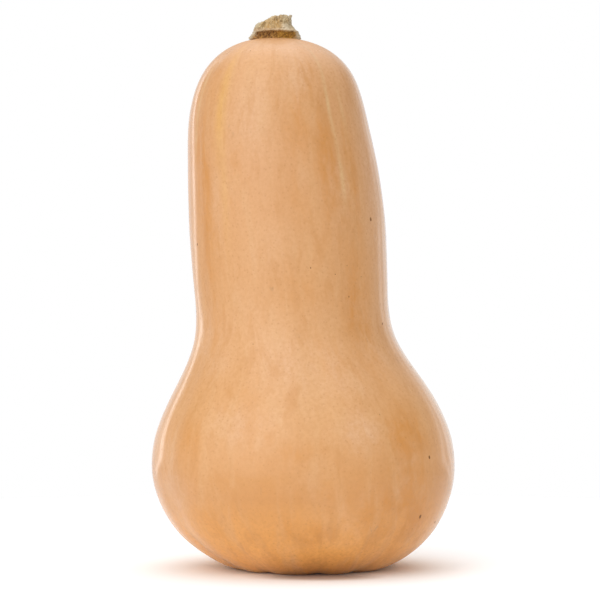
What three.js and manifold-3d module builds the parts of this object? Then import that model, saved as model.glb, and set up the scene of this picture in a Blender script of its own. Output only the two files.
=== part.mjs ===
// A butternut squash as picked: one fruit standing on its blossom end, with the dry stub of its stem on top.
// Millimetres, +Z up. The origin is on the surface that the fruit stands on, under the middle of its bulb.
// Around the fruit, an angle of 0 faces -Y, the front, and a quarter turn faces +X.
import * as THREE from "three";
import { NURBSCurve } from "three/addons/curves/NURBSCurve.js";
import { mergeVertices } from "three/addons/utils/BufferGeometryUtils.js";
import Module from "manifold-3d";

const TURN = 2 * Math.PI;

// Driving dimensions of the fruit.
const FRUIT_HEIGHT = 251;
const BULB_RADIUS = 71.2;
const BULB_DEPTH_SHARE = 0.97; // the fruit is a little shallower than it is wide
const FRUIT_SEGMENTS = 72;
const FRUIT_RINGS = 52;

// The fruit's outline from the blossom end to the stem, as control points of a smooth curve:
// radius and sideways lean as shares of the bulb's radius, height as a share of the fruit's height.
const OUTLINE = [
  { part: "middle of the blossom end", radius: 0, lean: 0.03, height: 0.024 },
  { part: "dimple", radius: 0.2, lean: 0.03, height: 0.014 },
  { part: "foot", radius: 0.42, lean: 0.03, height: -0.012 },
  { part: "underside", radius: 0.685, lean: 0.035, height: 0.021 },
  { part: "bulb's lower side", radius: 0.91, lean: 0.015, height: 0.078 },
  { part: "bulb's widest ring", radius: 1.032, lean: 0, height: 0.167 },
  { part: "bulb's upper side", radius: 1.003, lean: 0, height: 0.26 },
  { part: "shoulder of the bulb", radius: 0.823, lean: -0.006, height: 0.354 },
  { part: "waist", radius: 0.638, lean: -0.062, height: 0.434 },
  { part: "lower neck", radius: 0.648, lean: -0.084, height: 0.532 },
  { part: "middle of the neck", radius: 0.664, lean: -0.1, height: 0.638 },
  { part: "upper neck", radius: 0.64, lean: -0.132, height: 0.748 },
  { part: "head", radius: 0.605, lean: -0.174, height: 0.848 },
  { part: "round of the head", radius: 0.524, lean: -0.17, height: 0.935 },
  { part: "top of the head", radius: 0.346, lean: -0.178, height: 0.984 },
  { part: "stem's seat", radius: 0.15, lean: -0.186, height: 1.0 },
  { part: "under the stem", radius: 0, lean: -0.186, height: 1.002 },
];
const BACKWARD_LEAN = 2.5; // how far the head stands behind the bulb

// Ten shallow furrows run from the blossom end to the stem, between the ribs.
const FURROW_COUNT = 10;
const FURROW_START = 0.022; // turns, from the front
const FURROW_UNEVENNESS = 0.2; // of the pitch
const FURROW_HALF_WIDTH = 0.22; // of the pitch
const FURROW_DEPTHS = [
  // depth in mm by height, as a share of the fruit's height
  { height: 0, depth: 1.7 },
  { height: 0.06, depth: 1.1 },
  { height: 0.25, depth: 0.8 },
  { height: 0.45, depth: 0.5 },
  { height: 0.75, depth: 0.35 },
  { height: 0.95, depth: 0.6 },
  { height: 1, depth: 0.3 },
];

// The stem's stub: a stump torn off on a slant, above toes that spread over the fruit.
const STEM_SEAT_DEPTH = 3; // how far the uncut stub reaches down before the fruit is cut from it
const STEM_GAP = 0.3; // between the stub and the fruit
const STUMP_RADIUS = 7;
const STUMP_FLARE = { reach: 2.8, fade: 4.8 }; // widening towards the seat, and the height over which it fades
const TOES = [
  // middle in turns from the front, and reach in mm beyond the stump
  { at: 0.17, reach: 3.3 },
  { at: 0.32, reach: 3.7 },
  { at: 0.51, reach: 2.8 },
  { at: 0.69, reach: 3.8 },
  { at: 0.83, reach: 3.1 },
];
const TOE_FADE = 4.6; // height over which the toes die away
const TOE_HALF_WIDTH = 0.055; // turns
const TEAR_HIGH = 10.4; // height of the torn face's right side above the seat
const TEAR_DROP = 4.6; // how much lower its left side is
const TEAR_BEND = { from: 1, to: -9.5 }; // where across the stump the face starts and stops falling
const TEAR_HOLLOW = 0.9;
const HOOK_LENGTH = 1.3; // a sliver that stands out at the torn edge's high side
const STEM_SEGMENTS = 48;
const STEM_WALL_RINGS = 13;
const STEM_CAP_RINGS = 4;

const skin = new THREE.MeshStandardMaterial({ color: 0xe2a874, roughness: 0.38, metalness: 0 });
const bark = new THREE.MeshStandardMaterial({ color: 0xa08a60, roughness: 0.9, metalness: 0 });

const clamp = THREE.MathUtils.clamp;
const smoothstep = THREE.MathUtils.smoothstep;

// The fruit's outline as a curve whose points are (radius, lean, height).
function outlineCurve() {
  const [pole, first] = OUTLINE;
  const [last, top] = OUTLINE.slice(-2);
  // A control point mirrored across the axis at each end makes the curve meet the axis squarely.
  const beyond = (row, middle) => ({ ...row, radius: -row.radius, lean: 2 * middle.lean - row.lean });
  const rows = [beyond(first, pole), ...OUTLINE, beyond(last, top)];
  const points = rows.map(
    (row) => new THREE.Vector4(row.radius * BULB_RADIUS, row.lean * BULB_RADIUS, row.height * FRUIT_HEIGHT, 1),
  );
  const degree = 3;
  const knots = Array.from({ length: points.length + degree + 1 }, (_, i) => i);
  return new NURBSCurve(degree, knots, points, degree, points.length);
}

// The furrows' depth at a height, which runs in straight stretches between the listed heights.
function furrowDepth(heightShare) {
  const above = FURROW_DEPTHS.findIndex((row) => row.height >= heightShare);
  if (above === 0) return FURROW_DEPTHS[0].depth;
  if (above < 0) return FURROW_DEPTHS.at(-1).depth;
  const [low, high] = [FURROW_DEPTHS[above - 1], FURROW_DEPTHS[above]];
  const share = (heightShare - low.height) / (high.height - low.height);
  return THREE.MathUtils.lerp(low.depth, high.depth, share);
}

// The signed way round from one angle to another, at most half a turn.
function turnsBetween(from, to) {
  return THREE.MathUtils.euclideanModulo(to - from + 0.5, 1) - 0.5;
}

// How much of a furrow there is at an angle: 1 in its middle, 0 on the rib beside it.
function furrowAt(turns) {
  let most = 0;
  for (let k = 0; k < FURROW_COUNT; k++) {
    const middle = FURROW_START + (k - FURROW_UNEVENNESS * Math.sin(2.3 * k)) / FURROW_COUNT;
    const widths = (turnsBetween(middle, turns) * FURROW_COUNT) / FURROW_HALF_WIDTH;
    most = Math.max(most, Math.exp(-(widths ** 2)));
  }
  return most;
}

// A closed skin: rings of points from one end of an axis to the other, with the ends on the axis.
function ringedGeometry(segments, rings, place) {
  const profile = Array.from({ length: rings + 1 }, (_, j) => new THREE.Vector2(Math.min(j, rings - j), j));
  const geometry = new THREE.LatheGeometry(profile, segments);
  const position = geometry.getAttribute("position");
  for (let i = 0; i <= segments; i++) {
    for (let j = 0; j <= rings; j++) {
      const point = place((i % segments) / segments, j);
      position.setXYZ(i * (rings + 1) + j, point.x, point.y, point.z);
    }
  }
  geometry.deleteAttribute("normal");
  geometry.deleteAttribute("uv");
  return mergeVertices(geometry, 1e-4);
}

// A point at an angle and a distance from an upright axis.
function around(turns, distance, height) {
  return new THREE.Vector3(distance * Math.sin(turns * TURN), -distance * Math.cos(turns * TURN), height);
}

function fruitGeometry() {
  const outline = outlineCurve();
  return ringedGeometry(FRUIT_SEGMENTS, FRUIT_RINGS, (turns, ring) => {
    const { x: radius, y: lean, z: height } = outline.getPoint(ring / FRUIT_RINGS);
    const atPole = ring === 0 || ring === FRUIT_RINGS;
    const heightShare = clamp(height / FRUIT_HEIGHT, 0, 1);
    // The furrows are cut square to the skin, which lies flat near both ends, and they fade out at the axis.
    const cut = atPole ? 0 : furrowAt(turns) * furrowDepth(heightShare) * smoothstep(radius, 2, 20);
    const steepness = smoothstep(heightShare, 0, 0.08) * (1 - smoothstep(heightShare, 0.92, 1));
    const point = around(turns, atPole ? 0 : radius - cut * steepness, height);
    point.z += cut * (1 - steepness) * (heightShare < 0.5 ? 1 : -1);
    point.x += lean;
    point.y = point.y * BULB_DEPTH_SHARE + BACKWARD_LEAN * smoothstep(heightShare, 0.3, 1);
    point.z = Math.max(point.z, 0); // the ribs rest flat on the surface
    return point;
  });
}

// The stub's radius at an angle and a height above its seat.
function stemRadius(turns, height) {
  const low = Math.max(height, 0);
  const flare = STUMP_FLARE.reach * Math.exp(-low / STUMP_FLARE.fade);
  const toes = TOES.map(({ at, reach }) => reach * Math.exp(-((turnsBetween(at, turns) / TOE_HALF_WIDTH) ** 2)));
  return STUMP_RADIUS + flare + Math.max(...toes) * Math.exp(-low / TOE_FADE);
}

// The torn face's height at a distance to the right of the stump's middle.
function tearHeight(x) {
  return TEAR_HIGH - TEAR_DROP * smoothstep(-x, -TEAR_BEND.from, -TEAR_BEND.to);
}

function stemGeometry() {
  const rings = STEM_WALL_RINGS + STEM_CAP_RINGS + 1;
  return ringedGeometry(STEM_SEGMENTS, rings, (turns, ring) => {
    if (ring === 0) return new THREE.Vector3(0, 0, -STEM_SEAT_DEPTH);
    const wall = Math.min((ring - 1) / (STEM_WALL_RINGS - 1), 1);
    const sideways = Math.sin(turns * TURN);
    const rim = tearHeight(stemRadius(turns, TEAR_HIGH - TEAR_DROP) * sideways);
    const height = THREE.MathUtils.lerp(-STEM_SEAT_DEPTH, rim, wall);
    const point = around(turns, stemRadius(turns, height), height);
    const hook = HOOK_LENGTH * Math.max(sideways, 0) ** 24 * smoothstep(height, rim - 3, rim);
    point.x += hook * 0.6;
    point.z += hook * 0.4;
    if (ring <= STEM_WALL_RINGS) return point;
    const inward = (ring - STEM_WALL_RINGS) / (STEM_CAP_RINGS + 1);
    point.multiply(new THREE.Vector3(1 - inward, 1 - inward, 1));
    point.z = THREE.MathUtils.lerp(point.z, tearHeight(0) - TEAR_HOLLOW, smoothstep(inward, 0, 1));
    return point;
  });
}

const wasm = await Module();
wasm.setup();

// A geometry whose shared vertices are merged, as a solid that can be cut.
function solidOf(geometry) {
  const vertProperties = new Float32Array(geometry.getAttribute("position").array);
  const triVerts = new Uint32Array(geometry.getIndex().array);
  return new wasm.Manifold(new wasm.Mesh({ numProp: 3, vertProperties, triVerts }));
}

function geometryOf(solid) {
  const { vertProperties, triVerts } = solid.getMesh();
  const geometry = new THREE.BufferGeometry();
  geometry.setAttribute("position", new THREE.BufferAttribute(vertProperties, 3));
  geometry.setIndex(new THREE.BufferAttribute(triVerts, 1));
  return geometry;
}

// The fruit, in its own frame.
const fruitSkin = fruitGeometry();
const fruit = new THREE.Mesh(fruitSkin, skin);
fruit.name = "fruit";

// The stub stands on the fruit's seat, and its underside is the fruit's own top, a small gap away.
const seat = outlineCurve().getPoint(1);
const stemPlace = new THREE.Vector3(seat.y, BACKWARD_LEAN, seat.z);
const uncutStem = stemGeometry().translate(stemPlace.x, stemPlace.y, stemPlace.z);
const stemSolid = solidOf(uncutStem).subtract(solidOf(fruitSkin).translate([0, 0, STEM_GAP]));
const stem = new THREE.Mesh(geometryOf(stemSolid), bark);
stem.name = "stem";

const squash = new THREE.Group();
squash.add(fruit, stem);

export default squash;
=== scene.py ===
"""A butternut squash as picked: it stands on its blossom end, with the dry torn stub of its stem on top.

Metres, +Z up. The origin is on the surface that the squash stands on, under the middle of its bulb.
Around the fruit, an angle of 0 turns faces -Y, the front, and a quarter turn faces +X.
"""

import math

import bpy
import numpy as np
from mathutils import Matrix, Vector, noise


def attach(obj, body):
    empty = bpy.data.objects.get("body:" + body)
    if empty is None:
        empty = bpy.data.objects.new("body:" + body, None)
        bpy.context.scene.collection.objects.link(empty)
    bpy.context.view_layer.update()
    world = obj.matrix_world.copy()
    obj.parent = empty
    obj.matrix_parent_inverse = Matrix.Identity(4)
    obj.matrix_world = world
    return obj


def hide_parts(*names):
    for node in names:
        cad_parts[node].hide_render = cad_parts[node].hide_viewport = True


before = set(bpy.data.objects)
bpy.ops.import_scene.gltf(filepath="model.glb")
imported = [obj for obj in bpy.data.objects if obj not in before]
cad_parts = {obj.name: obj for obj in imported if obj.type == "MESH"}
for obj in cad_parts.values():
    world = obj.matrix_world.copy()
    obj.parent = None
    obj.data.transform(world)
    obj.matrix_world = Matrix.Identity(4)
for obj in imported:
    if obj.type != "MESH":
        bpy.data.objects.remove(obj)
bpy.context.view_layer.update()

TURN = 2 * math.pi
MM = 0.001

# ---------------------------------------------------------------- the fruit's dimensions

FRUIT_HEIGHT = 251 * MM
BULB_RADIUS = 71.2 * MM
BULB_DEPTH_SHARE = 0.97
BACKWARD_LEAN = 2.5 * MM
FRUIT_AROUND = 330
FRUIT_ALONG = 290

# The fruit's outline from the blossom end to the stem, as control points of a smooth curve:
# radius and sideways lean as shares of the bulb's radius, height as a share of the fruit's height.
OUTLINE = (
    ("middle of the blossom end", 0, 0.03, 0.024),
    ("dimple", 0.2, 0.03, 0.014),
    ("foot", 0.42, 0.03, -0.012),
    ("underside", 0.685, 0.035, 0.021),
    ("bulb's lower side", 0.91, 0.015, 0.078),
    ("bulb's widest ring", 1.032, 0, 0.167),
    ("bulb's upper side", 1.003, 0, 0.26),
    ("shoulder of the bulb", 0.823, -0.006, 0.354),
    ("waist", 0.638, -0.062, 0.434),
    ("lower neck", 0.648, -0.084, 0.532),
    ("middle of the neck", 0.664, -0.1, 0.638),
    ("upper neck", 0.64, -0.132, 0.748),
    ("head", 0.605, -0.174, 0.848),
    ("round of the head", 0.524, -0.17, 0.935),
    ("top of the head", 0.346, -0.178, 0.984),
    ("stem's seat", 0.15, -0.186, 1.0),
    ("under the stem", 0, -0.186, 1.002),
)

FURROW_COUNT = 10
FURROW_START = 0.022  # turns, from the front
FURROW_UNEVENNESS = 0.2  # of the pitch
FURROW_DEPTHS = ((0, 0.55), (0.06, 0.45), (0.25, 0.32), (0.45, 0.2), (0.75, 0.16), (0.95, 0.17), (1, 0.12))

SCAR_RADIUS = 10 * MM
# The scar's section: share of its radius, share of its height.
SCAR_PROFILE = ((0, 0.25), (0.25, 0.0), (0.5, 1.0), (0.75, 0.15), (1, 0))

# Stains and blooms on the skin, some partly painted shade and sheen: middle in turns and height share, half
# width in turns, half height, strength.
OCHRE_STAINS_AND_SHADE = (
    ("left flank of the neck", -0.153, 0.70, 0.024, 0.22, 1.15),
    ("middle of the neck, right of the front", 0.032, 0.83, 0.028, 0.06, 0.75),
    ("its lower end", 0.022, 0.70, 0.018, 0.05, 0.5),
    ("left of the pale line", 0.076, 0.75, 0.022, 0.13, 1.0),
    ("right of the pale line", 0.124, 0.73, 0.012, 0.12, 0.9),
    # This stain and the one on the bulb's lower right are the strongest: partly the skin's own ochre, partly
    # painted shade on the fruit's right side.
    ("right flank of the neck, lower", 0.115, 0.50, 0.030, 0.10, 1.35),
    ("front of the neck, low", 0.020, 0.53, 0.030, 0.04, 0.4),
    ("left shoulder of the bulb", -0.13, 0.255, 0.020, 0.04, 0.75),
    ("bulb's middle", 0.0, 0.235, 0.020, 0.018, 0.7),
    ("bulb's middle, lower", 0.025, 0.165, 0.010, 0.035, 1.0),
    ("bulb's right", 0.125, 0.25, 0.040, 0.055, 1.2),
    # Partly the skin's own ochre, partly painted shade on the fruit's right side.
    ("bulb's lower right", 0.12, 0.14, 0.055, 0.08, 1.8),
    ("near the foot", -0.005, 0.085, 0.035, 0.022, 1.0),
    ("near the foot, left", -0.10, 0.10, 0.03, 0.03, 0.5),
    ("back of the neck", 0.46, 0.66, 0.03, 0.16, 0.9),
    ("back of the neck, right", 0.34, 0.8, 0.02, 0.1, 0.8),
    ("back of the bulb", 0.58, 0.2, 0.05, 0.05, 1.0),
    ("side of the bulb", 0.70, 0.14, 0.04, 0.05, 0.8),
    ("back of the bulb, right", 0.36, 0.24, 0.03, 0.05, 0.9),
)
# The blooms on the front of the head, the front of the waist and either side of the bulb's middle lie where
# the skin faces up into the light: partly the skin's own pale patches, partly a painted sheen.
PALE_BLOOMS_AND_SHEEN = (
    ("front of the head", 0.038, 0.93, 0.030, 0.045, 1.0),
    ("left of the head's front", -0.05, 0.85, 0.035, 0.07, 0.7),
    ("right edge of the neck", 0.17, 0.73, 0.018, 0.10, 1.0),
    ("front of the neck", -0.02, 0.60, 0.030, 0.05, 0.6),
    ("front of the waist", 0.018, 0.39, 0.070, 0.065, 1.0),
    ("right of the waist", 0.13, 0.42, 0.03, 0.05, 0.9),
    ("right of the bulb's middle", 0.06, 0.27, 0.026, 0.040, 1.2),
    ("left of the bulb's middle", -0.07, 0.28, 0.040, 0.04, 0.9),
    ("left of the waist", -0.125, 0.41, 0.030, 0.05, 0.6),
    ("low on the bulb's left", -0.15, 0.16, 0.030, 0.04, 0.6),
    ("back of the head", 0.55, 0.9, 0.06, 0.06, 0.7),
    ("back of the waist", 0.5, 0.36, 0.08, 0.05, 0.8),
    ("left of the neck's back", 0.62, 0.6, 0.03, 0.1, 0.8),
)
YELLOW_STRIPES = (
    ("stripe down the left of the neck", -0.109, 0.86, 0.011, 0.11, 1.0),
    ("stripe's lower end", -0.104, 0.72, 0.007, 0.10, 0.6),
    ("stripe down the back", 0.47, 0.82, 0.010, 0.12, 0.8),
    ("stripe down the side", 0.29, 0.8, 0.008, 0.1, 0.6),
)
# The skin's roughness and the height of its finest grain.
GLOSSIEST_SKIN = 0.15
DULLEST_SKIN = 0.2
SKIN_GRAIN_HEIGHT = 0.05 * MM

# Thin pale lines: turns from the front (-0.5 to 0.5), lower and upper end as shares of the height, strength.
PALE_LINES = (
    ("right of the front", 0.1, 0.66, 1.02, 0.55),
    ("beside it, shorter", 0.131, 0.78, 0.93, 0.2),
    ("left flank", -0.176, 0.74, 0.96, 0.4),
    ("right flank", 0.27, 0.6, 0.95, 0.6),
    ("back, right", 0.39, 0.7, 0.97, 0.7),
    ("back, left", -0.4, 0.62, 0.95, 0.6),
    ("left side", -0.29, 0.72, 0.97, 0.5),
)


# ---------------------------------------------------------------- building blocks


class Tree:
    """Adds nodes to a tree. A value that is a socket is linked to the input, any other is set on it."""

    def __init__(self, tree):
        self.tree = tree

    def node(self, kind, values=None, **settings):
        node = self.tree.nodes.new(kind)
        for name, value in settings.items():
            setattr(node, name, value)
        for key, value in (values or {}).items():
            self.wire(node.inputs[key], value)
        return node

    def wire(self, socket, value):
        if isinstance(value, bpy.types.NodeSocket):
            self.tree.links.new(value, socket)
        else:
            socket.default_value = value

    def math(self, operation, a, b=0.0, c=0.0):
        return self.node("ShaderNodeMath", {0: a, 1: b, 2: c}, operation=operation).outputs[0]

    def product(self, first, *others):
        for other in others:
            first = self.math("MULTIPLY", first, other)
        return first

    def total(self, first, *others):
        for other in others:
            first = self.math("ADD", first, other)
        return first

    def vector(self, operation, a, b=(0, 0, 0), output="Vector"):
        return self.node("ShaderNodeVectorMath", {0: a, 1: b}, operation=operation).outputs[output]

    def scaled(self, vector, factors):
        return self.vector("MULTIPLY", vector, factors)

    def split(self, vector):
        return self.node("ShaderNodeSeparateXYZ", {0: vector}).outputs

    def joined(self, x, y, z):
        return self.node("ShaderNodeCombineXYZ", {0: x, 1: y, 2: z}).outputs[0]

    def noise(self, vector, scale, detail=2.0, roughness=0.5, w=0.0, distortion=0.0):
        values = {"Vector": vector, "Scale": scale, "Detail": detail, "Roughness": roughness, "W": w}
        values["Distortion"] = distortion
        return self.node("ShaderNodeTexNoise", values, noise_dimensions="4D").outputs[0]

    def ramp(self, value, start, end, low=0.0, high=1.0):
        """low up to start, high from end, and a smooth rise between them."""
        values = {0: value, 1: start, 2: end, 3: low, 4: high}
        return self.node("ShaderNodeMapRange", values, interpolation_type="SMOOTHSTEP").outputs[0]

    def curve(self, value, points):
        node = self.node("ShaderNodeFloatCurve", {1: value})
        line = node.mapping.curves[0]
        line.points[0].location = points[0]
        line.points[1].location = points[-1]
        for place in points[1:-1]:
            line.points.new(*place)
        for point in line.points:
            point.handle_type = "VECTOR"
        node.mapping.update()
        return node.outputs[0]


class Surface(Tree):
    """A procedural material."""

    def __init__(self, name):
        self.material = bpy.data.materials.new(name)
        self.material.use_nodes = True
        super().__init__(self.material.node_tree)
        self.tree.nodes.clear()

    def attribute(self, name, output="Fac"):
        return self.node("ShaderNodeAttribute", attribute_name=name).outputs[output]

    def layer(self, share, under, over):
        """A share of the colour over on the colour under."""
        values = {0: share, 6: under, 7: over}
        return self.node("ShaderNodeMix", values, data_type="RGBA", clamp_factor=True).outputs[2]

    def finish(self, colour, roughness, height, bump_distance, **constants):
        """The surface's shader, with a bump of a height given in shares of bump_distance."""
        bump = self.node("ShaderNodeBump", {"Strength": 1.0, "Distance": bump_distance, "Height": height})
        values = {"Base Color": colour, "Roughness": roughness, "Normal": bump.outputs[0], **constants}
        shader = self.node("ShaderNodeBsdfPrincipled", values)
        self.node("ShaderNodeOutputMaterial", {0: shader.outputs[0]})
        return self.material


class Growth(Tree):
    """A geometry tree with named inputs."""

    def __init__(self, name, **inputs):
        super().__init__(bpy.data.node_groups.new(name, "GeometryNodeTree"))
        interface = self.tree.interface
        interface.new_socket("Geometry", in_out="INPUT", socket_type="NodeSocketGeometry")
        for label, kind in inputs.items():
            interface.new_socket(label, in_out="INPUT", socket_type=kind)
        interface.new_socket("Geometry", in_out="OUTPUT", socket_type="NodeSocketGeometry")
        self.inputs = self.node("NodeGroupInput").outputs

    def attribute(self, name, kind="FLOAT"):
        return self.node("GeometryNodeInputNamedAttribute", {0: name}, data_type=kind).outputs[0]

    def scatter(self, density):
        """Points over the base's faces, at a density per square metre."""
        values = {"Mesh": self.inputs["Geometry"], "Density": density, "Seed": self.inputs["Seed"]}
        return self.node("GeometryNodeDistributePointsOnFaces", values).outputs

    def random(self, low, high):
        """A random number from low to high for each point."""
        values = {2: low, 3: high, "Seed": self.inputs["Seed"]}
        return self.node("FunctionNodeRandomValue", values, data_type="FLOAT").outputs[1]

    def random_vector(self, low, high):
        values = {0: low, 1: high, "Seed": self.inputs["Seed"]}
        return self.node("FunctionNodeRandomValue", values, data_type="FLOAT_VECTOR").outputs[0]

    def planted(self, points, shape, rotation, scale):
        """The shape on each of the points."""
        values = {"Points": points, "Instance": shape, "Rotation": rotation, "Scale": scale}
        return self.node("GeometryNodeInstanceOnPoints", values).outputs[0]

    def stretched(self, vector, scale):
        return self.node("ShaderNodeVectorMath", {0: vector, "Scale": scale}, operation="SCALE").outputs[0]

    def finish(self, geometry, material):
        whole = self.node("GeometryNodeRealizeInstances", {0: geometry}).outputs[0]
        coated = self.node("GeometryNodeSetMaterial", {"Geometry": whole, "Material": material}).outputs[0]
        self.node("NodeGroupOutput", {0: coated})
        return self.tree


def grow(name, base, tree, **values):
    """Runs a geometry tree on a base mesh and returns the result as an object with a plain mesh."""
    piece = bpy.data.objects.new(name, base)
    bpy.context.scene.collection.objects.link(piece)
    modifier = piece.modifiers.new(tree.name, "NODES")
    modifier.node_group = tree
    for item in tree.interface.items_tree:
        if item.in_out == "INPUT" and item.name in values:
            modifier[item.identifier] = values[item.name]
    depsgraph = bpy.context.evaluated_depsgraph_get()
    grown = piece.evaluated_get(depsgraph)
    mesh = bpy.data.meshes.new_from_object(grown, preserve_all_data_layers=True, depsgraph=depsgraph)
    piece.modifiers.clear()
    piece.data = mesh
    mesh.name = name
    return piece


def smoothstep(value, start, end):
    """0 up to start, 1 from end, and a smooth rise between them."""
    share = np.clip((value - start) / (end - start), 0, 1)
    return share * share * (3 - 2 * share)


def ringed_mesh(name, places, attributes):
    """A closed skin over rings of points, places[ring, spoke]. The first and last rings are single points."""
    rings, spokes = places.shape[:2]
    inner = places[1:-1].reshape(-1, 3)
    points = np.vstack([places[0, 0], inner, places[-1, 0]])
    first = 1 + np.arange(rings - 3)[:, None] * spokes + np.arange(spokes)[None, :]
    right = 1 + np.arange(rings - 3)[:, None] * spokes + (np.arange(spokes)[None, :] + 1) % spokes
    quads = np.stack([first, right, right + spokes, first + spokes], axis=-1).reshape(-1, 4)
    spoke = np.arange(spokes)
    after = (spoke + 1) % spokes
    top_ring = 1 + (rings - 3) * spokes
    bottom = [(0, 1 + int(b), 1 + int(a)) for a, b in zip(spoke, after)]
    top = [(top_ring + int(a), top_ring + int(b), len(points) - 1) for a, b in zip(spoke, after)]
    mesh = bpy.data.meshes.new(name)
    mesh.from_pydata(points.tolist(), [], bottom + quads.tolist() + top)
    for label, values in attributes.items():
        flat = np.concatenate([values[0, :1], values[1:-1].reshape(-1, *values.shape[2:]), values[-1, :1]])
        kind = "FLOAT" if flat.ndim == 1 else "FLOAT_VECTOR"
        layer = mesh.attributes.new(label, kind, "POINT")
        layer.data.foreach_set("value" if flat.ndim == 1 else "vector", flat.astype(np.float32).ravel())
    return mesh


# ---------------------------------------------------------------- the fruit


def outline_curve(count):
    """Rows of (radius, lean, height) at even steps along the fruit's outline."""
    rows = np.array([row[1:] for row in OUTLINE], float)

    def beyond(row, middle):
        return (-row[0], 2 * middle[1] - row[1], row[2])

    control = np.vstack([beyond(rows[1], rows[0]), rows, beyond(rows[-2], rows[-1])])
    control = control * (BULB_RADIUS, BULB_RADIUS, FRUIT_HEIGHT)
    spans = len(control) - 3
    fine = np.linspace(0, spans, 6000)
    span = np.minimum(fine.astype(int), spans - 1)
    u = (fine - span)[:, None]
    weights = ((1 - u) ** 3, 3 * u**3 - 6 * u**2 + 4, -3 * u**3 + 3 * u**2 + 3 * u + 1, u**3)
    line = sum(weight / 6 * control[span + k] for k, weight in enumerate(weights))
    steps = np.hypot(np.diff(line[:, 0]), np.diff(line[:, 2]))
    run = np.concatenate([[0], np.cumsum(steps)])
    even = np.linspace(0, run[-1], count)
    return np.stack([np.interp(even, run, line[:, k]) for k in range(3)], axis=-1), even


def furrow_phase(turns):
    """The number of furrows passed on the way round: whole in a furrow's middle."""
    order = np.arange(-1, FURROW_COUNT + 2)
    middles = FURROW_START + (order - FURROW_UNEVENNESS * np.sin(2.3 * (order % FURROW_COUNT))) / FURROW_COUNT
    return np.interp(turns, middles, order)


def stain_mask(stains, turns, height, wobble):
    """How much of the listed stains there is at a place."""
    mask = np.zeros(turns.shape)
    for _, middle, level, half_width, half_height, strength in stains:
        across = (np.mod(turns - middle + 0.5, 1) - 0.5) / half_width
        along = (height - level) / half_height
        reach = across**2 + along**2 + wobble
        mask = np.maximum(mask, strength * np.exp(-np.clip(reach, 0, None)))
    return mask


def lathed_fruit():
    """The fruit's smooth form, with what its ribs, relief and colours follow stored on its points."""
    line, run = outline_curve(FRUIT_ALONG)
    turns = (np.arange(FRUIT_AROUND) / FRUIT_AROUND)[None, :] + np.zeros((FRUIT_ALONG, 1))
    radius, lean, height = (line[:, k][:, None] + 0 * turns for k in range(3))
    share = np.clip(height / FRUIT_HEIGHT, 0, 1)
    x = radius * np.sin(turns * TURN) + lean
    y = -radius * np.cos(turns * TURN) * BULB_DEPTH_SHARE + BACKWARD_LEAN * smoothstep(share, 0.3, 1)
    along = run[:, None] / BULB_RADIUS + 0 * turns
    grain = np.stack([np.sin(turns * TURN), -np.cos(turns * TURN), along], -1)
    wobble = 0.9 * np.sin(7 * grain[..., 0] + 9 * share) * np.sin(8 * grain[..., 1] - 6 * share)
    attributes = {
        "furrow_phase": furrow_phase(turns),
        "height_share": share,
        "off_axis": radius,
        "grain": grain,
        "ochre_and_shade": stain_mask(OCHRE_STAINS_AND_SHADE, turns, share, 0.5 * wobble),
        "bloom_and_sheen": stain_mask(PALE_BLOOMS_AND_SHEEN, turns, share, -0.5 * wobble),
        "yellow": stain_mask(YELLOW_STRIPES, turns, share, 0.2 * wobble),
    }
    return ringed_mesh("lathed_fruit", np.stack([x, y, height], -1), attributes)


def rib_tree():
    """Cuts the furrows, dents the skin, puckers the blossom end and stands the fruit on its ribs."""
    tree = Growth(
        "Squash ribs and relief",
        **{
            "Furrow depth": "NodeSocketFloat",
            "Furrow half width": "NodeSocketFloat",
            "Dent depth": "NodeSocketFloat",
            "Dent size": "NodeSocketFloat",
            "Strand depth": "NodeSocketFloat",
            "Scar height": "NodeSocketFloat",
            "Seed": "NodeSocketFloat",
            "Skin": "NodeSocketMaterial",
        },
    )
    inputs = tree.inputs
    grain = tree.attribute("grain", "FLOAT_VECTOR")
    off_axis = tree.attribute("off_axis")
    share = tree.attribute("height_share")
    phase = tree.attribute("furrow_phase")
    apart = tree.math("SUBTRACT", phase, tree.math("ROUND", phase))
    widths = tree.math("DIVIDE", apart, inputs["Furrow half width"])
    furrow = tree.math("EXPONENT", tree.product(tree.product(widths, widths), -1.0))
    depth = tree.curve(share, FURROW_DEPTHS)
    off_pole = tree.ramp(off_axis, 2 * MM, 20 * MM)
    cut = tree.product(tree.product(furrow, depth), inputs["Furrow depth"])
    cut = tree.product(cut, off_pole)

    position = tree.node("GeometryNodeInputPosition").outputs[0]
    dent_scale = tree.math("DIVIDE", 1.0, inputs["Dent size"])
    dents = tree.math("SUBTRACT", tree.noise(position, dent_scale, 1.5, 0.4, inputs["Seed"]), 0.6)
    dents = tree.product(tree.product(dents, inputs["Dent depth"]), 2.0)
    strands = tree.noise(tree.scaled(grain, (9, 9, 1.1)), 1.0, 3.0, 0.55, inputs["Seed"])
    strands = tree.product(tree.math("SUBTRACT", strands, 0.5), inputs["Strand depth"])
    relief = tree.product(tree.total(dents, strands), off_pole)

    # The blossom's scar: a low corky ring with a pit in its middle, on the underside only.
    ring = tree.curve(tree.math("DIVIDE", off_axis, SCAR_RADIUS), SCAR_PROFILE)
    rough = tree.noise(position, 900.0, 2.0, 0.6, inputs["Seed"])
    scar = tree.product(tree.product(ring, inputs["Scar height"]), rough)
    scar = tree.product(scar, tree.math("LESS_THAN", share, 0.2))

    rise = tree.math("SUBTRACT", tree.total(relief, scar), cut)
    normal = tree.node("GeometryNodeInputNormal").outputs[0]
    values = {"Geometry": inputs["Geometry"], "Offset": tree.stretched(normal, rise)}
    shaped = tree.node("GeometryNodeSetPosition", values).outputs[0]
    x, y, z = tree.split(position)
    above = tree.joined(x, y, tree.math("MAXIMUM", z, 0.0))
    standing = tree.node("GeometryNodeSetPosition", {"Geometry": shaped, "Position": above}).outputs[0]
    smooth = tree.node("GeometryNodeSetShadeSmooth", {"Geometry": standing}).outputs[0]
    return tree.finish(smooth, inputs["Skin"])


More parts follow.
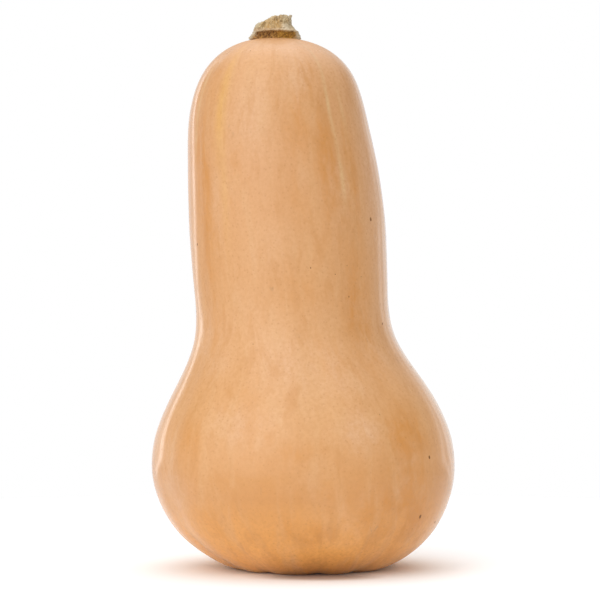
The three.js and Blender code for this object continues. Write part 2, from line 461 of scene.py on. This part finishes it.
def skin_material():
    """Waxy tan skin: mottled along the fruit, with orange-brown stains, pale blooms, thin pale lines and
    pores; some stains and blooms are partly painted shade and sheen, and the lighter blossom end is partly
    painted light.
    """
    skin = Surface("Waxy squash skin")
    grain = skin.attribute("grain", "Vector")
    place = skin.node("ShaderNodeTexCoord").outputs["Object"]
    share = skin.attribute("height_share")

    tan = skin.node("ShaderNodeValToRGB", {0: share})
    # The stop at the blossom end is much lighter than the rest: partly the skin's own orange there, partly
    # painted light standing in for the floor's bounce under the painted contact shadow.
    stops = (
        (0.0, (0.88, 0.42, 0.107)),
        (0.15, (0.562, 0.265, 0.088)),
        (0.3, (0.602, 0.315, 0.128)),
        (0.45, (0.60, 0.317, 0.135)),
        (0.6, (0.59, 0.303, 0.123)),
        (0.75, (0.59, 0.300, 0.127)),
        (0.95, (0.62, 0.335, 0.156)),
    )
    band = tan.color_ramp
    band.elements[0].position, band.elements[0].color = stops[0][0], (*stops[0][1], 1)
    band.elements[1].position, band.elements[1].color = stops[-1][0], (*stops[-1][1], 1)
    for where, colour in stops[1:-1]:
        band.elements.new(where).color = (*colour, 1)
    colour = tan.outputs[0]

    # Large soft stains and blooms, some partly painted shade and sheen, then the streaks that run along the
    # fruit, then the fine grain of the skin.
    broad = skin.noise(skin.scaled(grain, (2.2, 2.2, 1.3)), 1.0, 3.0, 0.6, 3.1)
    blotches = skin.noise(skin.scaled(grain, (11, 11, 7)), 1.0, 4.0, 0.65, 8.4, 0.5)
    # Ochre stains, in places partly painted shade on the fruit's right side.
    ochre_and_shade = skin.total(skin.attribute("ochre_and_shade"), skin.ramp(broad, 0.5, 0.72, 0.0, 0.5))
    ochre_and_shade = skin.product(ochre_and_shade, skin.ramp(blotches, 0.3, 0.68, 0.35, 1.25))
    colour = skin.layer(skin.product(ochre_and_shade, 0.66), colour, (0.554, 0.23, 0.048, 1))
    # Pale blooms, on the front partly a painted sheen where the skin faces up into the light.
    pale = skin.noise(skin.scaled(grain, (2.6, 2.6, 1.7)), 1.0, 3.0, 0.55, 11.7)
    bloom_and_sheen = skin.total(skin.attribute("bloom_and_sheen"), skin.ramp(pale, 0.52, 0.74, 0.0, 0.5))
    bloom_and_sheen = skin.product(bloom_and_sheen, skin.ramp(blotches, 0.35, 0.65, 1.2, 0.5))
    colour = skin.layer(skin.product(bloom_and_sheen, 0.58), colour, (0.64, 0.38, 0.215, 1))
    colour = skin.layer(skin.product(skin.attribute("yellow"), 0.6), colour, (0.66, 0.37, 0.10, 1))

    streaks = skin.noise(skin.scaled(grain, (8, 8, 1.9)), 1.0, 3.0, 0.55, 5.2, 0.8)
    colour = skin.layer(skin.ramp(streaks, 0.46, 0.7, 0.0, 0.4), colour, (0.623, 0.356, 0.167, 1))
    dull = skin.noise(skin.scaled(grain, (7, 7, 3.4)), 1.0, 4.0, 0.6, 21.0, 0.8)
    colour = skin.layer(skin.ramp(dull, 0.48, 0.72, 0.0, 0.45), colour, (0.501, 0.223, 0.061, 1))

    # Thin pale lines that run down from the stem.
    side, front, _ = skin.split(grain)
    turns = skin.math("DIVIDE", skin.math("ARCTAN2", side, skin.product(front, -1.0)), TURN)
    drift = skin.product(skin.math("SUBTRACT", skin.noise(grain, 1.6, 2.0, 0.5, 12.0), 0.5), 0.02)
    turns = skin.total(turns, drift)
    broken = skin.ramp(skin.noise(skin.scaled(grain, (6, 6, 4.0)), 1.0, 3.0, 0.6, 2.0), 0.36, 0.6, 0.35, 1.0)
    for _, middle, bottom, top, strength in PALE_LINES:
        apart = skin.math("ABSOLUTE", skin.math("SUBTRACT", turns, middle))
        line = skin.ramp(apart, 0.0, 0.0075, strength, 0.0)
        line = skin.product(line, skin.ramp(share, bottom, bottom + 0.08))
        line = skin.product(line, skin.ramp(share, top - 0.04, top, 1.0, 0.0))
        colour = skin.layer(skin.product(line, broken), colour, (0.67, 0.47, 0.24, 1))

    mottle = skin.noise(place, 620.0, 2.0, 0.6, 4.0)
    colour = skin.layer(skin.ramp(mottle, 0.3, 0.75, 0.0, 0.3), colour, (0.471, 0.216, 0.067, 1))
    values = {"Vector": place, "Scale": 420.0, "Randomness": 1.0}
    pores = skin.node("ShaderNodeTexVoronoi", values).outputs["Distance"]
    pore = skin.ramp(pores, 0.10, 0.26, 1.0, 0.0)
    colour = skin.layer(skin.product(pore, 0.22), colour, (0.38, 0.156, 0.041, 1))

    # Healed rubs: short greyish-tan marks.
    rubbed = skin.noise(skin.scaled(place, (1.0, 1.0, 0.35)), 260.0, 2.0, 0.5, 15.0, 0.8)
    where = skin.noise(place, 28.0, 1.0, 0.5, 31.0)
    rub = skin.product(skin.ramp(rubbed, 0.66, 0.74), skin.ramp(where, 0.55, 0.66))
    colour = skin.layer(skin.product(rub, 0.5), colour, (0.38, 0.208, 0.094, 1))

    # The blossom's scar is bare cork.
    off_axis = skin.attribute("off_axis")
    under = skin.ramp(off_axis, 5 * MM, 7.5 * MM, 1.0, 0.0)
    under = skin.product(under, skin.ramp(share, 0.1, 0.2, 1.0, 0.0))
    colour = skin.layer(under, colour, skin.layer(mottle, (0.152, 0.075, 0.026, 1), (0.516, 0.297, 0.121, 1)))

    # Wax gives an even gloss. It is duller in the pores, on the scar, near the ground and round the stem.
    roughness = skin.ramp(streaks, 0.3, 0.75, GLOSSIEST_SKIN, DULLEST_SKIN)
    roughness = skin.total(roughness, skin.product(pore, 0.03), skin.product(under, 0.5))
    low = skin.ramp(share, 0.1, 0.3, 0.03, 0.0)
    round_stem = skin.ramp(off_axis, 14 * MM, 34 * MM, 0.3, 0.0)
    round_stem = skin.product(round_stem, skin.ramp(share, 0.4, 0.6))
    roughness = skin.total(roughness, skin.total(low, round_stem))
    fine = skin.product(mottle, 0.35)
    wavy = skin.noise(skin.scaled(grain, (20, 20, 3.0)), 1.0, 3.0, 0.6, 9.0)
    height = skin.math("SUBTRACT", skin.total(fine, wavy), skin.product(pore, 0.4))
    wax = {"IOR": 1.5, "Specular IOR Level": 0.45}
    return skin.finish(colour, roughness, height, SKIN_GRAIN_HEIGHT, **wax)


# ---------------------------------------------------------------- the stem's stub

STEM_AROUND = 220
STEM_WALL_RINGS = 90
STEM_CAP_RINGS = 26
STEM_SINK = 0.9  # mm; how far the stub reaches into the skin
BAND_HEIGHT = 2.7  # mm; the rough band under the stump, dark brown partly of its own and partly as painted shade under the stump's bulge
BARK_GRAIN_HEIGHT = 0.25 * MM
FACE_DEPTH = 1.5  # mm; how far the torn face's middle lies below its rim

# Toes that grip the skin: turns from the front, reach and height in mm.
TOES = (
    ("right", 0.218, 2.7, 3.9),
    ("back right", 0.40, 2.4, 3.0),
    ("back left", 0.59, 2.9, 3.4),
    ("left", 0.765, 2.9, 3.0),
)
TOE_HALF_WIDTH = 0.055  # turns
# The stump's radius at a height above the seat, both in mm.
STUMP_LEFT = ((0, 9.4), (1.8, 9.6), (2.6, 10.0), (3.4, 10.3), (4.7, 10.2), (5.8, 9.6), (6.8, 8.4), (11, 6.2))
STUMP_RIGHT = ((0, 9.2), (2.8, 9.8), (4.2, 9.0), (5.7, 8.0), (6.8, 7.6), (8.2, 7.4), (9.7, 7.5), (11.2, 8.0))
STUMP_FRONT = ((0, 8.8), (2.2, 8.9), (3.0, 9.9), (3.6, 9.8), (5.0, 9.0), (7.5, 7.9), (11, 6.6))
# The torn face's height in mm at a distance to the right of the stump's middle in mm.
TEAR = (
    (-10.5, 4.8),
    (-8.7, 6.3),
    (-7.0, 7.3),
    (-5.3, 7.9),
    (-3.8, 8.9),
    (-1.7, 10.0),
    (0.0, 10.1),
    (1.4, 9.9),
    (2.6, 10.3),
    (5.3, 10.35),
    (6.8, 10.2),
    (7.7, 10.6),
)


def stem_form():
    """The stub in millimetres from the seat's middle, and what its colours follow.

    From the seat up it has toes, a rough band, the corky stump that bulges over the band, and the torn face.
    """
    tear_x, tear_z = np.array(TEAR).T
    rings = STEM_WALL_RINGS + STEM_CAP_RINGS + 1
    places = np.zeros((rings + 1, STEM_AROUND, 3))
    torn_face, toes, pits = (np.zeros((rings + 1, STEM_AROUND)) for _ in range(3))
    for i in range(STEM_AROUND):
        turn = i / STEM_AROUND
        side, front = math.sin(turn * TURN), -math.cos(turn * TURN)
        jag = 0.3 * noise.noise(Vector((side * 2.0, front * 2.0, 4.0)))
        jag = jag + 0.25 * noise.noise(Vector((side * 6.0, front * 6.0, 1.7)))
        rim = float(np.interp(7.8 * side, tear_x, tear_z)) + jag - 0.9 * max(-front, 0.0) * max(-side, 0.0)
        for j in range(rings + 1):
            wall = min(max(j - 1, 0) / (STEM_WALL_RINGS - 1), 1)
            height = -STEM_SINK + (rim + STEM_SINK) * wall
            low = max(height, 0.0)
            to_side = np.interp(low, *np.array(STUMP_RIGHT if side > 0 else STUMP_LEFT).T)
            to_front = np.interp(low, *np.array(STUMP_FRONT).T)
            radius = float(front**2 * to_front + side**2 * to_side)
            toe = 0.0
            for _, at, reach, tall in TOES:
                near = math.exp(-((((turn - at + 0.5) % 1 - 0.5) / TOE_HALF_WIDTH) ** 2))
                radius += near * reach * max(1 - low / tall, 0.0) ** 0.8
                toe = max(toe, near * float(smoothstep(low, tall + 0.6, tall - 0.6)))
            place = Vector((side * 9.0, front * 9.0, height))
            lump = noise.noise(place * 0.3 + Vector((3, 1, 0)))
            knob = noise.noise(place * 0.62 + Vector((0, 7, 2)))
            crumb = noise.fractal(place * 1.3, 0.6, 2.0, 3)
            fibre = noise.noise(Vector((side * 15.0, front * 15.0, height * 0.45)))
            radius += 0.6 * lump + 0.45 * knob + 0.28 * crumb + 0.22 * fibre
            pits[j, i] = 0.9 * knob + 0.6 * crumb + 0.5 * fibre
            toes[j, i] = toe
            if j > STEM_WALL_RINGS:
                inward = (j - STEM_WALL_RINGS) / (STEM_CAP_RINGS + 1)
                reach = radius * (1 - inward)
                torn = noise.fractal(Vector((side * reach * 0.7, front * reach * 0.7, 2.0)), 0.7, 2.0, 4)
                middle = float(np.interp(side * reach, tear_x, tear_z)) - FACE_DEPTH
                height += (middle + 0.8 * torn - height) * float(smoothstep(inward, 0, 0.3))
                radius = reach
                torn_face[j, i] = float(smoothstep(inward, 0, 0.12))
            if j == 0:
                radius = 0.0
            places[j, i] = (radius * side, radius * front, height)
    places[rings, :] = places[rings - 1].mean(axis=0)
    torn_face[rings] = 1
    return places, {"torn_face": torn_face, "toe": toes, "pit": pits}


def stem_mesh(seat):
    """The stub on its seat, in metres, with what its colours follow stored on its points."""
    places, follows = stem_form()
    turns = (np.arange(STEM_AROUND) / STEM_AROUND)[None, :] + np.zeros((len(places), 1))
    grain = np.stack([np.sin(turns * TURN), -np.cos(turns * TURN), places[..., 2] / 10], -1)
    attributes = {"grain": grain, "above_seat": places[..., 2].copy(), **follows}
    return ringed_mesh("stem_form", places * MM + np.array(seat), attributes)


def bark_material():
    """Dry stem: corky khaki stump with grey edges, paler lip and facet, over a rough dark brown band that is
    partly painted shade under the stump's bulge.
    """
    bark = Surface("Dry corky stem")
    place = bark.node("ShaderNodeTexCoord").outputs["Object"]
    grain = bark.attribute("grain", "Vector")
    height = bark.attribute("above_seat")
    side = bark.split(grain)[0]
    edge = bark.math("ABSOLUTE", side)
    fibres = bark.noise(bark.scaled(grain, (13, 13, 5.0)), 1.0, 4.0, 0.65, 1.0, 0.4)
    cork = bark.noise(place, 1100.0, 4.0, 0.65, 2.0)
    patches = bark.noise(place, 240.0, 3.0, 0.6, 6.0)

    colour = bark.layer(bark.ramp(patches, 0.4, 0.62), (0.50, 0.405, 0.25, 1), (0.47, 0.31, 0.135, 1))
    golden = bark.product(bark.ramp(side, -0.7, -0.35), bark.ramp(side, 0.3, 0.55, 1.0, 0.0))
    golden = bark.product(golden, bark.ramp(height, 9.5, 7.5, 0.3, 1.0))
    colour = bark.layer(bark.product(golden, 0.8), colour, (0.45, 0.255, 0.085, 1))
    colour = bark.layer(bark.ramp(fibres, 0.42, 0.7, 0.0, 0.55), colour, (0.62, 0.50, 0.31, 1))
    # Darker where the stump's surface sinks in: partly the cork's own dark pits, partly painted shade in the
    # hollows.
    pit = bark.ramp(bark.attribute("pit"), -0.1, -0.7)
    colour = bark.layer(bark.product(pit, 0.75), colour, (0.20, 0.115, 0.04, 1))
    colour = bark.layer(bark.ramp(cork, 0.48, 0.68, 0.0, 0.65), colour, (0.19, 0.125, 0.06, 1))
    colour = bark.layer(bark.ramp(edge, 0.7, 0.95, 0.0, 0.65), colour, (0.50, 0.42, 0.29, 1))

    # A pale lip just over the band, and a paler, smoother facet right of the front.
    lip = bark.ramp(height, BAND_HEIGHT, BAND_HEIGHT + 0.5)
    lip = bark.product(lip, bark.ramp(height, BAND_HEIGHT + 0.8, BAND_HEIGHT + 1.6, 1.0, 0.0))
    colour = bark.layer(bark.product(lip, 0.6), colour, (0.60, 0.45, 0.29, 1))
    facet = bark.product(bark.ramp(side, 0.22, 0.45), bark.ramp(side, 0.66, 0.86, 1.0, 0.0))
    middle = bark.product(bark.ramp(height, 2.8, 3.4), bark.ramp(height, 5.0, 7.2, 1.0, 0.0))
    facet = bark.product(facet, middle)
    colour = bark.layer(bark.product(facet, 0.75), colour, (0.66, 0.54, 0.38, 1))
    colour = bark.layer(bark.ramp(height, 7.5, 10.5, 0.0, 0.55), colour, (0.64, 0.51, 0.33, 1))
    torn = bark.layer(bark.ramp(patches, 0.42, 0.6), (0.30, 0.19, 0.085, 1), (0.56, 0.43, 0.25, 1))
    colour = bark.layer(bark.product(bark.attribute("torn_face"), 0.7), colour, torn)

    toe = bark.attribute("toe")
    colour = bark.layer(bark.product(toe, 0.7), colour, (0.47, 0.38, 0.27, 1))
    ragged = bark.total(bark.product(cork, 1.2), bark.product(patches, 2.0))
    band = bark.ramp(bark.total(height, ragged), BAND_HEIGHT + 1.1, BAND_HEIGHT + 1.8, 1.0, 0.0)
    band = bark.product(band, bark.ramp(bark.total(toe, bark.product(patches, 1.2)), 0.95, 1.45, 1.0, 0.0))
    # The band's dark brown, darkest on the left where the stump bulges most, is partly the stem's own colour
    # and partly painted shade under the bulge.
    rightward = bark.ramp(side, -0.3, 0.4)
    dark_brown_and_shade = bark.layer(rightward, (0.13, 0.052, 0.014, 1), (0.22, 0.10, 0.02, 1))
    golden = bark.layer(rightward, (0.43, 0.22, 0.06, 1), (0.50, 0.265, 0.045, 1))
    crumbly = bark.total(bark.product(cork, 0.6), bark.product(fibres, 0.4))
    brown = bark.layer(bark.ramp(crumbly, 0.4, 0.62), dark_brown_and_shade, golden)
    colour = bark.layer(band, colour, brown)
    bump = bark.total(bark.product(fibres, 0.7), bark.product(cork, 0.8))
    roughness = bark.ramp(cork, 0.3, 0.7, 0.75, 0.95)
    return bark.finish(colour, roughness, bump, BARK_GRAIN_HEIGHT, **{"Specular IOR Level": 0.25})


def speck_tree():
    """Scatters small healed specks over the skin, flat against it and drawn out along the fruit."""
    tree = Growth(
        "Healed specks",
        **{
            "Specks per square metre": "NodeSocketFloat",
            "Smallest": "NodeSocketFloat",
            "Largest": "NodeSocketFloat",
            "Flatness": "NodeSocketFloat",
            "Seed": "NodeSocketInt",
            "Cork": "NodeSocketMaterial",
        },
    )
    inputs = tree.inputs
    position = tree.node("GeometryNodeInputPosition").outputs[0]
    clusters = tree.ramp(tree.noise(position, 22.0, 1.0, 0.5, 7.0), 0.42, 0.66, 0.05, 1.0)
    clear = tree.ramp(tree.attribute("height_share"), 0.03, 0.1)
    density = tree.product(tree.product(clusters, clear), inputs["Specks per square metre"])
    spots = tree.scatter(density)
    upright = tree.node("FunctionNodeAlignRotationToVector", {"Vector": spots["Normal"]}, axis="Z").outputs[0]
    values = {"Rotation": upright, "Vector": (0, 0, 1)}
    along = tree.node("FunctionNodeAlignRotationToVector", values, axis="Y", pivot_axis="Z").outputs[0]
    few_large = tree.math("POWER", tree.random(0.0, 1.0), 3.0)
    spread = tree.math("SUBTRACT", inputs["Largest"], inputs["Smallest"])
    size = tree.total(inputs["Smallest"], tree.product(few_large, spread))
    long = tree.product(size, 1.5)
    flat = tree.product(size, inputs["Flatness"])
    speck = tree.node("GeometryNodeMeshUVSphere", {"Segments": 8, "Rings": 5, "Radius": 1.0}).outputs[0]
    scattered = tree.planted(spots["Points"], speck, along, tree.joined(size, long, flat))
    return tree.finish(scattered, inputs["Cork"])


def splinter_tree():
    """Stands torn fibres along the stump's rim and over its torn face."""
    tree = Growth(
        "Torn fibres",
        **{
            "Fibres per square metre": "NodeSocketFloat",
            "Thickness": "NodeSocketFloat",
            "Length": "NodeSocketFloat",
            "Seed": "NodeSocketInt",
            "Bark": "NodeSocketMaterial",
        },
    )
    inputs = tree.inputs
    density = tree.product(tree.attribute("torn_face"), inputs["Fibres per square metre"])
    spots = tree.scatter(density)
    turned = tree.random_vector((-0.5, -0.5, 0.0), (0.5, 0.5, 6.28))
    grade = tree.random(0.3, 1.0)
    thickness = tree.product(inputs["Thickness"], grade)
    length = tree.product(inputs["Length"], tree.math("POWER", grade, 2.0))
    fibre = tree.node(
        "GeometryNodeMeshCone",
        {"Vertices": 5, "Side Segments": 2, "Radius Top": 0.15, "Radius Bottom": 1.0, "Depth": 2.0},
    ).outputs["Mesh"]
    sunk = tree.node("GeometryNodeTransform", {"Geometry": fibre, "Translation": (0, 0, -0.4)}).outputs[0]
    standing = tree.planted(spots["Points"], sunk, turned, tree.joined(thickness, thickness, length))
    return tree.finish(standing, inputs["Bark"])


def crumb_tree():
    """Packs corky crumbs onto the rough band under the stump."""
    tree = Growth(
        "Corky crumbs",
        **{
            "Crumbs per square metre": "NodeSocketFloat",
            "Crumb size": "NodeSocketFloat",
            "Seed": "NodeSocketInt",
            "Bark": "NodeSocketMaterial",
        },
    )
    inputs = tree.inputs
    height = tree.attribute("above_seat")
    band = tree.product(
        tree.ramp(height, 0.1, 0.5),
        tree.ramp(height, BAND_HEIGHT - 0.3, BAND_HEIGHT + 0.3, 1.0, 0.0),
        tree.ramp(tree.attribute("toe"), 0.3, 0.7, 1.0, 0.0),
    )
    density = tree.product(band, inputs["Crumbs per square metre"])
    spots = tree.scatter(density)
    turned = tree.random_vector((0, 0, 0), (6.28, 6.28, 6.28))
    stretch = tree.random_vector((0.4, 0.4, 0.4), (1.0, 1.0, 1.3))
    size = tree.stretched(stretch, inputs["Crumb size"])
    crumb = tree.node("GeometryNodeMeshIcoSphere", {"Radius": 1.0, "Subdivisions": 1}).outputs[0]
    packed = tree.planted(spots["Points"], crumb, turned, size)
    return tree.finish(packed, inputs["Bark"])


def cork_material():
    """Healed specks: dull brown cork, no two alike."""
    cork = Surface("Healed cork")
    place = cork.node("ShaderNodeTexCoord").outputs["Object"]
    shade = cork.noise(place, 130.0, 2.0, 0.6, 3.0)
    grit = cork.noise(place, 2400.0, 2.0, 0.6, 3.0)
    colour = cork.layer(cork.ramp(shade, 0.35, 0.65), (0.17, 0.07, 0.02, 1), (0.27, 0.125, 0.04, 1))
    colour = cork.layer(cork.ramp(grit, 0.4, 0.7, 0.0, 0.5), colour, (0.10, 0.045, 0.018, 1))
    roughness = cork.ramp(grit, 0.3, 0.7, 0.7, 0.9)
    return cork.finish(colour, roughness, grit, SKIN_GRAIN_HEIGHT, **{"Specular IOR Level": 0.15})


# ---------------------------------------------------------------- the pieces

skin = skin_material()
bark = bark_material()
cork = cork_material()

fruit = grow(
    "squash_fruit",
    lathed_fruit(),
    rib_tree(),
    **{
        "Furrow depth": 1.7 * MM,
        "Furrow half width": 0.22,
        "Dent depth": 0.5 * MM,
        "Dent size": 34 * MM,
        "Strand depth": 0.15 * MM,
        "Scar height": 1.2 * MM,
        "Seed": 12.0,
        "Skin": skin,
    },
)
specks = grow(
    "skin_specks",
    fruit.data.copy(),
    speck_tree(),
    **{
        "Specks per square metre": 2500.0,
        "Smallest": 0.18 * MM,
        "Largest": 0.8 * MM,
        "Flatness": 0.16,
        "Seed": 4,
        "Cork": cork,
    },
)

seat_line, _ = outline_curve(4)
seat = (seat_line[-1][1], BACKWARD_LEAN, seat_line[-1][2])
stem_skin = stem_mesh(seat)
stem = bpy.data.objects.new("stem_stub", stem_skin)
bpy.context.scene.collection.objects.link(stem)
stem_skin.materials.append(bark)
stem_skin.shade_smooth()
fibres = grow(
    "stem_fibres",
    stem_skin.copy(),
    splinter_tree(),
    **{
        "Fibres per square metre": 2.2e6,
        "Thickness": 0.16 * MM,
        "Length": 0.55 * MM,
        "Seed": 9,
        "Bark": bark,
    },
)
crumbs = grow(
    "stem_crumbs",
    stem_skin.copy(),
    crumb_tree(),
    **{
        "Crumbs per square metre": 3.0e6,
        "Crumb size": 0.32 * MM,
        "Seed": 2,
        "Bark": bark,
    },
)

PIECE_SLOTS = (
    (fruit, "squash_skin"),
    (specks, "squash_skin"),
    (stem, "stem_bark"),
    (fibres, "stem_bark"),
    (crumbs, "stem_bark"),
)
for piece, slot in PIECE_SLOTS:
    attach(piece, "root")
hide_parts("fruit")
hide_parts("stem")

# ---------------------------------------------------------------- the studio

CAMERA_PLACE = Vector((-1.6, -1450, 155)) * MM
CAMERA_AIM = Vector((-1.6, 0, 127)) * MM
FIELD = 284.4 * MM  # what the frame spans at the squash
FLOOR_RADIUS = 0.42
ROOM_BRIGHTNESS = 0.34
HORIZON_GLOW = 0.5
# Wide soft lights: middle, narrowness, brightness.
SOFT_LIGHTS = (
    ("high front left", (-0.5, -0.9, 0.9), 6.0, 1.48),
    ("low front left", (-0.9, -0.75, 0.15), 4.0, 0.85),
    ("low front", (0.0, -1.0, 0.25), 4.0, 0.34),
    ("high front right", (0.7, -0.7, 0.8), 6.0, 0.28),
    ("overhead", (0.04, 0.34, 1.0), 5.0, 1.85),
)
# White screens, drawn in towards their tops and feet: left and right edge in degrees right of straight
# behind, softness of each edge, brightness at the floor's edge and higher up.
SCREENS = (
    ("left screen", -51, -42, 1.5, 2.0, 1.6, 2.5),
    ("backdrop", -36, 35, 3.0, 3.0, 0.2, 0.2),
    ("right strip", 29, 35, 1.5, 1.5, 0.5, 0.5),
    ("right screen", 46, 52, 1.0, 1.0, 1.5, 1.0),
)
SCREENS_MEET = (20, 70)  # degrees down and up


def studio_camera():
    """A long lens a little above the middle of the squash, straight in front of it."""
    lens = bpy.data.cameras.new("studio_camera")
    lens.sensor_width = 36
    lens.lens = lens.sensor_width * (CAMERA_AIM - CAMERA_PLACE).length / FIELD
    lens.clip_end = 50
    camera = bpy.data.objects.new("studio_camera", lens)
    camera.location = CAMERA_PLACE
    camera.rotation_euler = (CAMERA_AIM - CAMERA_PLACE).to_track_quat("-Z", "Y").to_euler()
    bpy.context.scene.collection.objects.link(camera)
    bpy.context.scene.camera = camera


def studio_world():
    """A white room that is brightest overhead and to the front left, with screens behind the squash.

    The camera itself sees plain white.
    """
    world = bpy.data.worlds.new("studio")
    world.use_nodes = True
    bpy.context.scene.world = world
    tree = Tree(world.node_tree)
    tree.tree.nodes.clear()
    towards = tree.node("ShaderNodeTexCoord").outputs["Generated"]
    x, y, z = tree.split(towards)
    bearing = tree.product(tree.math("ARCTAN2", x, y), 360 / TURN)  # degrees right of straight behind
    level = tree.product(tree.math("ARCSINE", z), 360 / TURN)
    room = ROOM_BRIGHTNESS
    for _, middle, narrowness, brightness in SOFT_LIGHTS:
        ahead = tree.vector("DOT_PRODUCT", towards, Vector(middle).normalized(), "Value")
        glow = tree.math("POWER", tree.math("MAXIMUM", ahead, 0.0), narrowness)
        room = tree.total(room, tree.product(glow, brightness))
    down, up = SCREENS_MEET
    narrower = tree.math("MAXIMUM", tree.math("DIVIDE", level, up), tree.math("DIVIDE", level, -down))
    bearing = tree.math("DIVIDE", bearing, tree.math("MAXIMUM", tree.math("SUBTRACT", 1.0, narrower), 0.05))
    screens = 0.0
    for _, left, right, left_soft, right_soft, low, high in SCREENS:
        after = tree.ramp(bearing, left - left_soft, left + left_soft)
        before = tree.ramp(bearing, right - right_soft, right + right_soft, 1.0, 0.0)
        lit = tree.product(tree.product(after, before), tree.ramp(level, -5, 2, low, high))
        screens = tree.total(screens, lit)
    room = tree.total(room, tree.product(screens, tree.ramp(level, 12, 42, 1.0, 0.0)))
    room = tree.total(room, tree.ramp(tree.math("ABSOLUTE", level), 0, 26, HORIZON_GLOW, 0.0))
    seen = tree.node("ShaderNodeLightPath").outputs["Is Camera Ray"]
    shown = tree.node("ShaderNodeMix", {0: seen, 2: room, 3: 1.0}, data_type="FLOAT").outputs[0]
    background = tree.node("ShaderNodeBackground", {"Color": (1, 1, 1, 1), "Strength": shown})
    tree.node("ShaderNodeOutputWorld", {0: background.outputs[0]})


def studio_floor():
    """A round white floor, a little greyer far from the squash, with a painted contact shadow just in front
    of the squash's foot.
    """
    mesh = bpy.data.meshes.new("studio_floor")
    angles = np.linspace(1, 0, 97)[1:] * TURN
    edge = [(FLOOR_RADIUS * math.sin(angle), FLOOR_RADIUS * math.cos(angle), 0) for angle in angles]
    mesh.from_pydata(edge, [], [tuple(range(len(edge)))])
    floor = bpy.data.objects.new("studio_floor", mesh)
    bpy.context.scene.collection.objects.link(floor)
    white = Surface("White studio floor")
    place = white.node("ShaderNodeTexCoord").outputs["Object"]
    away = white.vector("LENGTH", place, output="Value")
    paint = white.layer(white.ramp(away, 0.15, 0.32), (0.96, 0.96, 0.96, 1), (0.84, 0.84, 0.84, 1))
    # A painted contact shadow: a brownish grey patch just in front of the foot deepens the shadow there.
    near_foot = white.vector("SUBTRACT", white.scaled(place, (0.55, 1.0, 1.0)), (4 * MM, -42 * MM, 0))
    painted_shadow = white.ramp(white.vector("LENGTH", near_foot, output="Value"), 6 * MM, 19 * MM, 1.0, 0.0)
    paint = white.layer(painted_shadow, paint, (0.56, 0.46, 0.40, 1))
    shader = white.node("ShaderNodeBsdfDiffuse", {"Color": paint})
    white.node("ShaderNodeOutputMaterial", {0: shader.outputs[0]})
    mesh.materials.append(white.material)


studio_camera()
studio_world()
studio_floor()
bpy.context.scene.view_settings.view_transform = "Standard"
